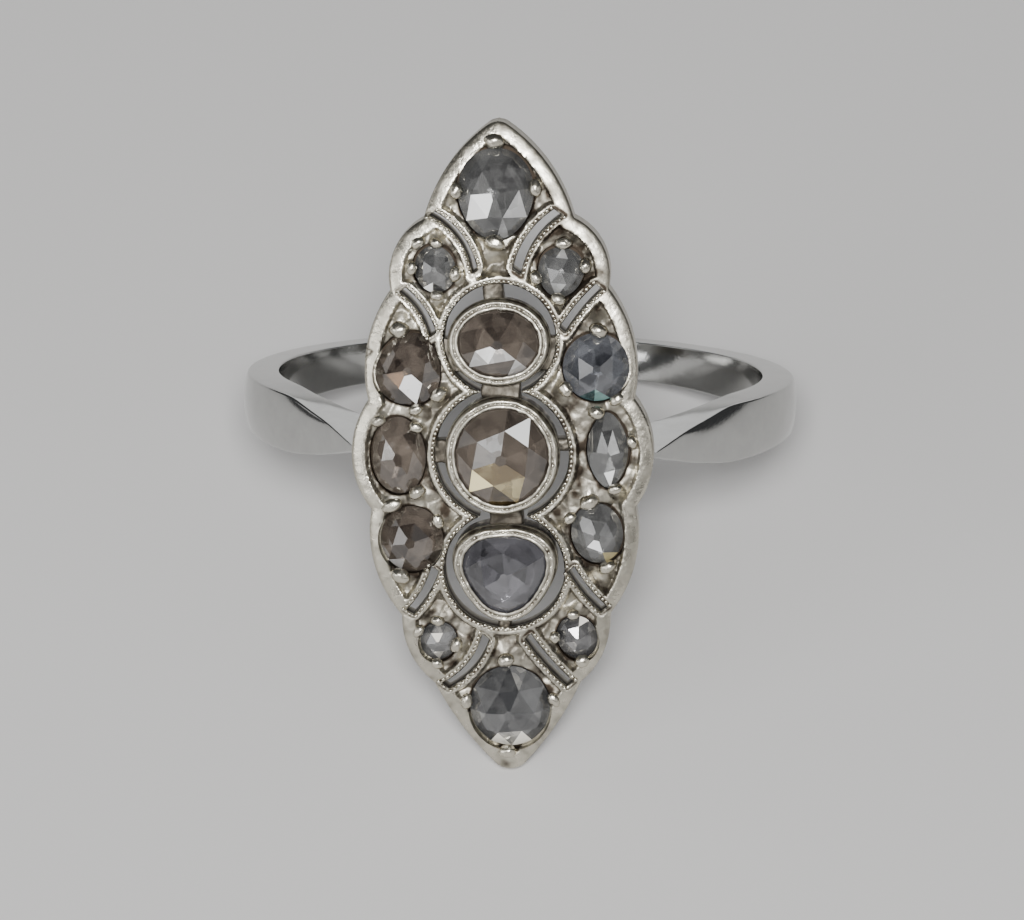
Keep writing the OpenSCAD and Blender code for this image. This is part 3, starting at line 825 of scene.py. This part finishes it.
def triangles_between(loops, grid_step, seats=()):
    """Points and triangles that fill the plate between its loops, and the indices of each loop's points."""
    all_loops = [*loops, *seats]
    starts = list(itertools.accumulate(map(len, all_loops), initial=0))
    edges = []
    for start, loop in zip(starts, all_loops):
        edges += [(start + i, start + (i + 1) % len(loop)) for i in range(len(loop))]
    grid = np.stack(np.meshgrid(*(np.arange(-reach, reach, grid_step) for reach in GRID_FIELD)), -1)
    grid = grid.reshape(-1, 2)
    grid += (np.random.default_rng(5).random(grid.shape) - 0.5) * grid_step * GRID_STRAY
    keep = on_metal(grid, grid_step * GRID_CLEAR)
    if seats:
        keep &= np.abs(seat_distance(grid) - STONE_GAP - SEAT_WALL / 2) > SEAT_CLEAR
    points = [Vector(p) for p in itertools.chain(*all_loops, grid[keep])]
    verts, _, faces, originals, _, _ = geometry.delaunay_2d_cdt(points, edges, [], 0, 1e-7, True)
    verts = np.array([v[:] for v in verts])
    faces = np.array(faces)
    faces = faces[on_metal(verts[faces].mean(axis=1))]
    index_of = {source: index for index, sources in enumerate(originals) for source in sources}
    loop_indices = [[index_of[start + i] for i in range(len(loop))] for start, loop in zip(starts, loops)]
    return verts, faces, loop_indices


def make_plate():
    loops = [loop_about_axis(outline_distance, *OUTLINE_ENDS, GRID)]
    loops += [loop_about_axis(opening_distance, *OPENING_ENDS, GRID)]
    loops += [slit_loop(s, GRID) for s in SLITS]
    loops += [light_hole_loop(s, GRID) for s in CELL_STONES]
    seats = [even_loop(stone_points(s, full_circle(SEAT_STEPS), 1, margin), GRID) + [s["across"], s["along"]]
             for s in CELL_STONES for margin in (STONE_GAP, STONE_GAP + SEAT_WALL)]
    front, front_faces, front_loops = triangles_between(loops, GRID, seats)
    back, back_faces, back_loops = triangles_between(loops, BACK_GRID)
    height, grime_and_shade = plate_surface(front)
    front_3d = np.column_stack([front, dome_height(front, 0) + height])
    back_3d = np.column_stack([back, dome_height(back, PLATE_T)])
    count = len(front)
    faces = list(front_faces) + [(c + count, b + count, a + count) for a, b, c in back_faces]
    walls, wall_grime_and_shade, start = [], [], count + len(back)
    for number, (top, bottom) in enumerate(zip(front_loops, back_loops)):
        size = len(top)
        rows = [top]
        # Painted shade down the walls of the openings, a little grime on the outer wall
        for drop, outer_grime, hole_shade in WALL_RINGS:
            walls.append(front_3d[top] - [0, 0, drop])
            wall_grime_and_shade.append(np.full(size, hole_shade if number else outer_grime))
            rows.append(range(start, start + size))
            start += size
        rows.append([i + count for i in bottom])
        for i in range(size):
            j = (i + 1) % size
            faces += [(upper[j], upper[i], lower[i], lower[j]) for upper, lower in zip(rows[:-1], rows[1:])]
    points = transformed(HEAD, np.vstack([front_3d, back_3d, *walls]))
    grime_and_shade = np.concatenate([grime_and_shade, np.full(len(back), BACK_GRIME), *wall_grime_and_shade])
    piece = metal_piece("plate", points, faces, HEAD_METAL, grime_and_shade)
    face_outward(piece.data)
    piece.data.set_sharp_from_angle(angle=PLATE_SHARP)


# Shank

def half_width(y, edge):
    """Half the shank's width at an edge of its flank, y behind the finger hole's centre."""
    corner, widest, slope = edge
    past = -corner - y
    toward_back = min(past, 0) * (widest - BACK_W / 2) / (SHANK_R - SHANK_SHIFT + corner)
    narrowed = slope * (past + math.hypot(past, EDGE_BEND)) / 2
    return max(widest + toward_back - narrowed, KNIFE_EDGE / 2)


def middle_height(y):
    return -SPINE_DROP * smooth_step(*SPINE_BEND, -y)


def outer_r(a):
    """Distance of the shank's outer circle, which is shifted to the front, from the finger hole's centre."""
    shift = SHANK_SHIFT * math.cos(a)
    return shift + math.sqrt(shift ** 2 - SHANK_SHIFT ** 2 + SHANK_R ** 2)


def round_point(a, r=BORE_R):
    """A point round the finger hole's centre, at an angle from the plate's middle."""
    return r * math.sin(a), -r * math.cos(a)


def shank_stations():
    """Pairs of inner and outer points of the right half, from the back to the plate."""
    plate_edge = LOBES[0][0] + LOBES[0][2]
    end_y = -HEAD_TOP + PLATE_T - PLATE_GRIP
    rail_angle = math.asin((plate_edge - RAIL_INSET) / BORE_R)
    angles = np.linspace(math.pi, SHOULDER_ANGLE, SHANK_STEPS)
    inner, outer = [round_point(a) for a in angles], [round_point(a, outer_r(a)) for a in angles]
    inner_end = [round_point(a) for a in np.linspace(SHOULDER_ANGLE, rail_angle, RAIL_STEPS)]
    inner_end += [(plate_edge - RAIL_INSET, -BORE_R + RAIL_DEPTH), (plate_edge - INNER_INSET, end_y)]
    outer_end = [outer[-1], (plate_edge - OUTER_INSET, end_y)]
    inner_end, outer_end = even_path(inner_end, SHOULDER_STEPS), even_path(outer_end, SHOULDER_STEPS)
    return np.vstack([inner, inner_end[1:]]), np.vstack([outer, outer_end[1:]])


def soften(points):
    points = points.copy()
    for _ in range(SOFTENING_ROUNDS):
        points[1:-1] = (points[:-2] + 2 * points[1:-1] + points[2:]) / 4
    return points


def with_left_half(right):
    return np.vstack([right[::-1] * [-1, 1], right[1:]])


def section(thickness, half, r):
    """A rectangle with corners of radius r, from 0 to `thickness` and from -half to half."""
    xs, zs = np.linspace(r, thickness - r, 5)[1:-1], np.linspace(r - half, half - r, 9)[1:-1]
    corners = [(r, r - half), (thickness - r, r - half), (thickness - r, half - r), (r, half - r)]
    sides = [[(x, -half) for x in xs], [(thickness, z) for z in zs], [(x, half) for x in xs[::-1]], []]
    points = []
    for (x, z), side, start in zip(corners, sides, (180, 270, 0, 90)):
        angles = np.radians(np.linspace(start, start + 90, 6))
        points += list(zip(x + r * np.cos(angles), z + r * np.sin(angles))) + side
    return np.array(points)


def shank_ring(inner, outer):
    """The shank's section between an inner and an outer point."""
    thickness = math.dist(inner, outer)
    out = (outer - inner) / thickness
    inner_half, outer_half = half_width(inner[1], INNER_EDGE), half_width(outer[1], OUTER_EDGE)
    ring = []
    for x, z in section(thickness, 1.0, SHANK_ROUND):
        share = x / thickness
        wide = inner_half + (outer_half - inner_half) * share
        crown = math.sqrt(CROWN_R ** 2 - (z * wide) ** 2) - CROWN_R
        place = inner + out * (x + crown * share)
        ring.append((place[0], place[1], middle_height(place[1]) + z * wide))
    return ring


def make_shank():
    inner, outer = shank_stations()
    inner, outer = with_left_half(inner), with_left_half(soften(outer))
    rings = [shank_ring(a, b) for a, b in zip(inner, outer)]
    points = transformed(TO_ROW, np.vstack(rings))
    faces = faces_between(len(rings), len(rings[0]))
    piece = metal_piece("shank", points, faces, SHANK_METAL, np.zeros(len(points)))
    face_outward(piece.data)
    piece.data.set_sharp_from_angle(angle=SHANK_SHARP)
    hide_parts("ring_mount")


# Bezels, bridges, beads and millegrain

def make_bezel(s):
    angles = full_circle(BEZEL_STEPS)
    edge = stone_points(s, angles)
    bends = np.array([noise.noise(Vector((x * BEND[0], y * BEND[0], s["along"]))) for x, y in edge])
    dents = np.array([lumps((x * DENT[0], y * DENT[0], s["along"])) for x, y in edge])
    wave_scale, wave_depth, wave_rise = WAVE
    rings, grime_and_shade = [], []
    for margin, z, dirt in BEZEL_PROFILE:
        worn = z > WEAR_FROM
        if margin is None:
            ring = light_hole_r(s) * np.stack([np.cos(angles), np.sin(angles)], 1)
        else:
            ring = stone_points(s, angles, 1, margin)
            ring *= 1 + (BEND[1] * bends[:, None] + DENT[1] * dents[:, None]) * worn
        waves = [noise.noise(Vector((x * wave_scale, y * wave_scale, s["along"] + z))) for x, y in ring]
        rings.append(np.column_stack([ring, z + np.minimum(wave_depth * np.array(waves), wave_rise) * worn]))
        grime_and_shade.append(np.clip(dirt + DENT_GRIME * dents, 0, 1))
    points = transformed(on_dome(s["across"], s["along"]), np.vstack(rings))
    faces = faces_between(len(rings), BEZEL_STEPS, joined=True)
    name = s["name"].replace("bezel_stone", "bezel")
    face_outward(metal_piece(name, points, faces, HEAD_METAL, np.concatenate(grime_and_shade)).data)


def make_bridges():
    low, high = BRIDGE_BACK - PLATE_T, -BRIDGE_FRONT
    shapes = []
    for x0, y0, x1, y1, width in BRIDGES:
        length = math.hypot(x1 - x0, y1 - y0)
        shape = section(high - low, width / 2, BRIDGE_ROUND)
        places = np.linspace(-length / 2, length / 2, BRIDGE_STEPS)
        verts = np.array([(x, z, low + h) for x in places for h, z in shape])
        k = BRIDGE_LUMP_SCALE
        lump = np.array([lumps((x * k + x0, z * k + y0, h)) for x, z, h in verts])
        verts[:, 2] += BRIDGE_LUMP_H * lump * (verts[:, 2] > low + BRIDGE_PLAIN_H)
        verts[:, 1] *= 1 + BRIDGE_LUMP_W * lump
        turn = Matrix.Rotation(math.atan2(y1 - y0, x1 - x0), 4, "Z")
        place = on_dome((x0 + x1) / 2, (y0 + y1) / 2) @ turn
        shapes.append((transformed(place, verts), faces_between(BRIDGE_STEPS, len(shape))))
    points, faces = join_shapes(shapes)
    # Painted shade: the bridges are darkened all over
    piece = metal_piece("bridges", points, faces, HEAD_METAL, np.full(len(points), BRIDGE_SHADE))
    piece.data.set_sharp_from_angle(angle=BRIDGE_SHARP)


def make_beads():
    draw = random.Random(11)
    sphere, sphere_faces = ball(3)
    shapes = []
    for across, along, r in BEADS:
        nearest = min(CELL_STONES, key=lambda s: math.hypot(s["across"] - across, s["along"] - along))
        toward = math.atan2(nearest["along"] - along, nearest["across"] - across)
        across, along = across + BEAD_LEAN * math.cos(toward), along + BEAD_LEAN * math.sin(toward)
        size = np.array([draw.uniform(*shares) for shares in BEAD_SHARES]) * r
        seed = Vector((across, along, 0))
        push = np.array([lumps(Vector(v) * BEAD_LUMP_SCALE + seed, 2) for v in sphere])
        verts = sphere * size * (1 + BEAD_LUMP * push[:, None])
        turn = Matrix.Rotation(toward + draw.uniform(*BEAD_TURNS), 4, "Z")
        shapes.append((transformed(on_dome(across, along, -BEAD_SINK) @ turn, verts), sphere_faces))
    points, faces = join_shapes(shapes)
    metal_piece("beads", points, faces, HEAD_METAL, np.full(len(points), BEAD_GRIME))


def grain_places():
    """Places of the grains on the plate, beside the slits and round the opening."""
    places = []
    for s in SLITS:
        _, _, length, _, _, half = slit_frame(s)
        x = np.arange(-length / 2, length / 2 + 0.01, GRAIN_PITCH)
        for side in (1, -1):
            places += list(from_chord(s, beside_slit(s, x, side * (half + GRAIN_ROW))))
    low_end, high_end = OPENING_ENDS
    ring = loop_about_axis(
        lambda p: opening_distance(p) - GRAIN_ROW, low_end - GRAIN_ROW, high_end + GRAIN_ROW, GRAIN_PITCH)
    return places + [p for p in ring if slits_distance(p[None])[0] > GRAIN_ROW + SLIT_CLEAR]


def make_millegrain():
    draw = random.Random(3)
    sphere, sphere_faces = ball(2)
    shapes = []
    for across, along in grain_places():
        r = GRAIN_R * draw.uniform(*GRAIN_SIZES)
        lift = draw.uniform(*GRAIN_LIFTS) * r - GRAIN_DROP
        verts = sphere * (r, r, GRAIN_FLATNESS * r)
        shapes.append((transformed(on_dome(across, along, lift), verts), sphere_faces))
    for s in BEZEL_STONES:
        seat = on_dome(s["across"], s["along"])
        for x, y in even_loop(stone_points(s, full_circle(LIP_STEPS), 1, LIP_GRAIN_MARGIN), GRAIN_PITCH):
            at_end = abs(y) / math.hypot(x, y)
            r = LIP_GRAIN_R * draw.uniform(*LIP_GRAIN_SIZES)
            lift = BEZEL_RISE - LIP_GRAIN_DROP - r * (1 - at_end * draw.uniform(*LIP_GRAIN_SHOWS))
            shapes.append((transformed(seat @ Matrix.Translation((x, y, lift)), sphere * r), sphere_faces))
    points, faces = join_shapes(shapes)
    metal_piece("millegrain", points, faces, HEAD_METAL, np.zeros(len(points)))


# Stones

def uncut_stone(s, slope):
    """The block that a stone is cut from, with a sloped top."""
    bm = bmesh.new()
    base = [bm.verts.new((x, y, 0)) for x, y in stone_points(s, full_circle(STONE_STEPS))]
    raised = bmesh.ops.extrude_face_region(bm, geom=[bm.faces.new(base)])["geom"]
    for v in raised:
        if isinstance(v, bmesh.types.BMVert):
            v.co.z = GIRDLE_H + s["crown"] + slope @ np.array(v.co[:2])
    return bm


def cut_facet(bm, a, b, c):
    """Cuts everything beyond the plane through three points and closes the cut with one facet."""
    a, b, c = Vector(a), Vector(b), Vector(c)
    normal = (b - a).cross(c - a).normalized()
    if normal.z < 0:
        normal.negate()
    whole = bm.verts[:] + bm.edges[:] + bm.faces[:]
    made = bmesh.ops.bisect_plane(bm, geom=whole, dist=1e-6, plane_co=a, plane_no=normal, clear_outer=True)
    rim = [g for g in made["geom_cut"] if isinstance(g, bmesh.types.BMEdge)]
    if rim:
        bmesh.ops.contextual_create(bm, geom=rim)


def crown_point(s, turn, share, height):
    """A point at a turn in degrees, on the stone's outline made smaller, at a height."""
    x, y = stone_points(s, [math.radians(turn)], share)[0]
    return x, y, height


def cut_rose(s, draw):
    """A hand-cut rose: a small table, six star facets, six between them and twelve down to the girdle."""
    slope = np.array([draw.uniform(-stray, stray) for stray in TABLE_STRAY]) + [0, TABLE_SLOPE]
    bm = uncut_stone(s, slope)
    turns = [s["star"] + 60 * k + draw.uniform(-STAR_STRAY, STAR_STRAY) for k in range(7)]
    turns[6] = turns[0] + 360
    on_girdle = [crown_point(s, (turns[k] + turns[k + 1]) / 2, 1, GIRDLE_H) for k in range(6)]
    ring_height = s["crown"] * RING_HEIGHTS.get(s["name"], RING_HEIGHT)
    corners, tips = [], []
    for turn in turns[:6]:
        height = GIRDLE_H + ring_height * draw.uniform(*STAR_SHARES)
        corners.append(crown_point(s, turn, RING_SHARE * draw.uniform(*STAR_SHARES), height))
        tip_share = TABLE_TIPS * s["table"] * draw.uniform(*TABLE_SHARES)
        tips.append(crown_point(s, turn, tip_share, GIRDLE_H + s["crown"]))
    for k in range(6):
        after = (k + 1) % 6
        middle = crown_point(s, turns[k], 1, GIRDLE_H)
        table_edge = [(p + q) / 2 for p, q in zip(tips[k], tips[after])]
        cut_facet(bm, corners[k], corners[after], table_edge)
        cut_facet(bm, corners[k], corners[after], on_girdle[k])
        cut_facet(bm, corners[k], on_girdle[k - 1], middle)
        cut_facet(bm, corners[k], middle, on_girdle[k])
    bmesh.ops.recalc_face_normals(bm, faces=bm.faces)
    # The cuts leave the facets in no fixed order, and the random tones need one
    bm.faces.sort(key=lambda f: f.calc_center_median().dot(FACET_ORDER))
    bm.faces.index_update()
    return bm


def facet_looks(s, bm, draw):
    tone = [draw.uniform(*TONES) - STONE_DEPTHS.get(s["name"], 0) for _ in bm.faces]
    hue_and_glint = np.tile(STONE_HUES.get(s["name"], NO_TINT), (len(bm.faces), 1))
    facing = [f for f in bm.faces if f.normal.z > FACING]

    def facet_at(x, y):
        spot = Vector((x * s["width"] / 2, y * s["length"] / 2))
        return min(facing, key=lambda f: (f.calc_center_median().xy - spot).length).index

    # Painted highlights and dark reflections on chosen facets
    for x, y, shade in PAINTED_FACET_REFLECTIONS[s["name"]]:
        tone[facet_at(x, y)] = shade
    # Painted coloured glints on chosen facets
    for x, y, colour in PAINTED_FACET_GLINTS.get(s["name"], []):
        hue_and_glint[facet_at(x, y)] = colour
    return tone, hue_and_glint


def make_stone(s):
    draw = random.Random(s["name"])
    bm = cut_rose(s, draw)
    tone, hue_and_glint = facet_looks(s, bm, draw)
    # Facets with a painted highlight take the less clear material, so they show paler
    for f in bm.faces:
        f.material_index = 1 if tone[f.index] >= PAINTED_HIGHLIGHT_TONE else 0
    rise = BEZEL_LEDGE if s in BEZEL_STONES else -CELL_DEPTH
    bm.transform(Matrix.Scale(MM, 4) @ on_dome(s["across"], s["along"], rise - SEAT_DEPTH + STONE_GAP))
    mesh = bpy.data.meshes.new(s["name"])
    bm.to_mesh(mesh)
    bm.free()
    for material in STONE_LOOKS[s["slot"]]:
        mesh.materials.append(material)
    mesh.attributes.new("tone", "FLOAT", "FACE").data.foreach_set("value", tone)
    mesh.attributes.new("hue_and_glint", "FLOAT_VECTOR", "FACE").data.foreach_set("vector", hue_and_glint.ravel())
    piece = new_object(s["name"] + "_cut", mesh)
    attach(piece, "root")
    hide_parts(s["name"])


# Assembly

make_shank()
make_plate()
make_bridges()
make_beads()
make_millegrain()
for stone in BEZEL_STONES:
    make_bezel(stone)
for stone in STONES:
    make_stone(stone)

# Camera, floor and light

# The photograph's view, fitted in the ring's own frame with the finger hole upright
CAMERA_YAW = math.radians(3.29)
CAMERA_RISE = math.radians(11.13)
CAMERA_ROLL = math.radians(0.61)
CAMERA_DISTANCE = 205.0
CAMERA_SHIFT = (-0.28, -2.27)
LENS = 200.87
SENSOR = 36.0
# Metres and watts from here on
CLIP = (0.01, 5.0)
FLOOR_HALF_W = 1.5
FLOOR_PAINT = (0.72, 0.71, 0.70, 1)
LIGHTS_AIM = Vector((0, -0.004, 0.003))
# Soft boxes: name, place, width and height, power
SOFT_BOXES = [
    ("key_box", (0.02, -0.325, 0.325), (0.12, 0.10), 2.5),
    ("left_box", (-0.27, -0.30, 0.14), (0.30, 0.18), 0.60),
    ("side_box", (-0.40, 0.02, 0.14), (0.24, 0.18), 0.14),
    ("right_box", (0.31, -0.24, 0.14), (0.22, 0.16), 0.13),
    ("back_box", (0.0, 0.50, 0.09), (0.60, 0.18), 0.36),
    ("front_fill", (0.0, -0.52, 0.20), (0.40, 0.26), 0.16),
]
STUDIO_COLOUR = (0.55, 0.56, 0.58, 1)
STUDIO_STRENGTH = 0.12


def make_camera():
    forward = math.cos(CAMERA_RISE)
    back = Vector((math.sin(CAMERA_YAW) * forward, -math.cos(CAMERA_YAW) * forward, math.sin(CAMERA_RISE)))
    right = Vector((0, 0, 1)).cross(back).normalized()
    up = back.cross(right)
    c, s = math.cos(CAMERA_ROLL), math.sin(CAMERA_ROLL)
    rolled_right, rolled_up = c * right + s * up, c * up - s * right
    eye = right * CAMERA_SHIFT[0] + up * CAMERA_SHIFT[1] + back * CAMERA_DISTANCE
    data = bpy.data.cameras.new("camera")
    data.lens, data.sensor_width = LENS, SENSOR
    data.clip_start, data.clip_end = CLIP
    camera = new_object("camera", data)
    turn = Matrix((rolled_right, rolled_up, back)).transposed().to_4x4()
    camera.matrix_world = TO_ROW @ Matrix.Translation(eye * MM) @ turn
    bpy.context.scene.camera = camera


def make_floor():
    h = FLOOR_HALF_W
    mesh = bpy.data.meshes.new("floor")
    mesh.from_pydata([(-h, -h, FLOOR), (h, -h, FLOOR), (h, h, FLOOR), (-h, h, FLOOR)], [], [(0, 1, 2, 3)])
    paint = Nodes("floor_paint")
    paint.set(Base_Color=FLOOR_PAINT, Roughness=0.6)
    mesh.materials.append(paint.material)
    floor = new_object("floor", mesh)


def make_lights():
    for name, place, size, power in SOFT_BOXES:
        data = bpy.data.lights.new(name, "AREA")
        data.shape, data.size, data.size_y = "RECTANGLE", *size
        data.energy = power
        light = new_object(name, data)
        light.location = place
        light.rotation_euler = (LIGHTS_AIM - Vector(place)).to_track_quat("-Z", "Y").to_euler()
    world = bpy.data.worlds.new("studio")
    world.use_nodes = True
    background = world.node_tree.nodes["Background"]
    background.inputs["Color"].default_value = STUDIO_COLOUR
    background.inputs["Strength"].default_value = STUDIO_STRENGTH
    bpy.context.scene.world = world


make_camera()
make_floor()
make_lights()
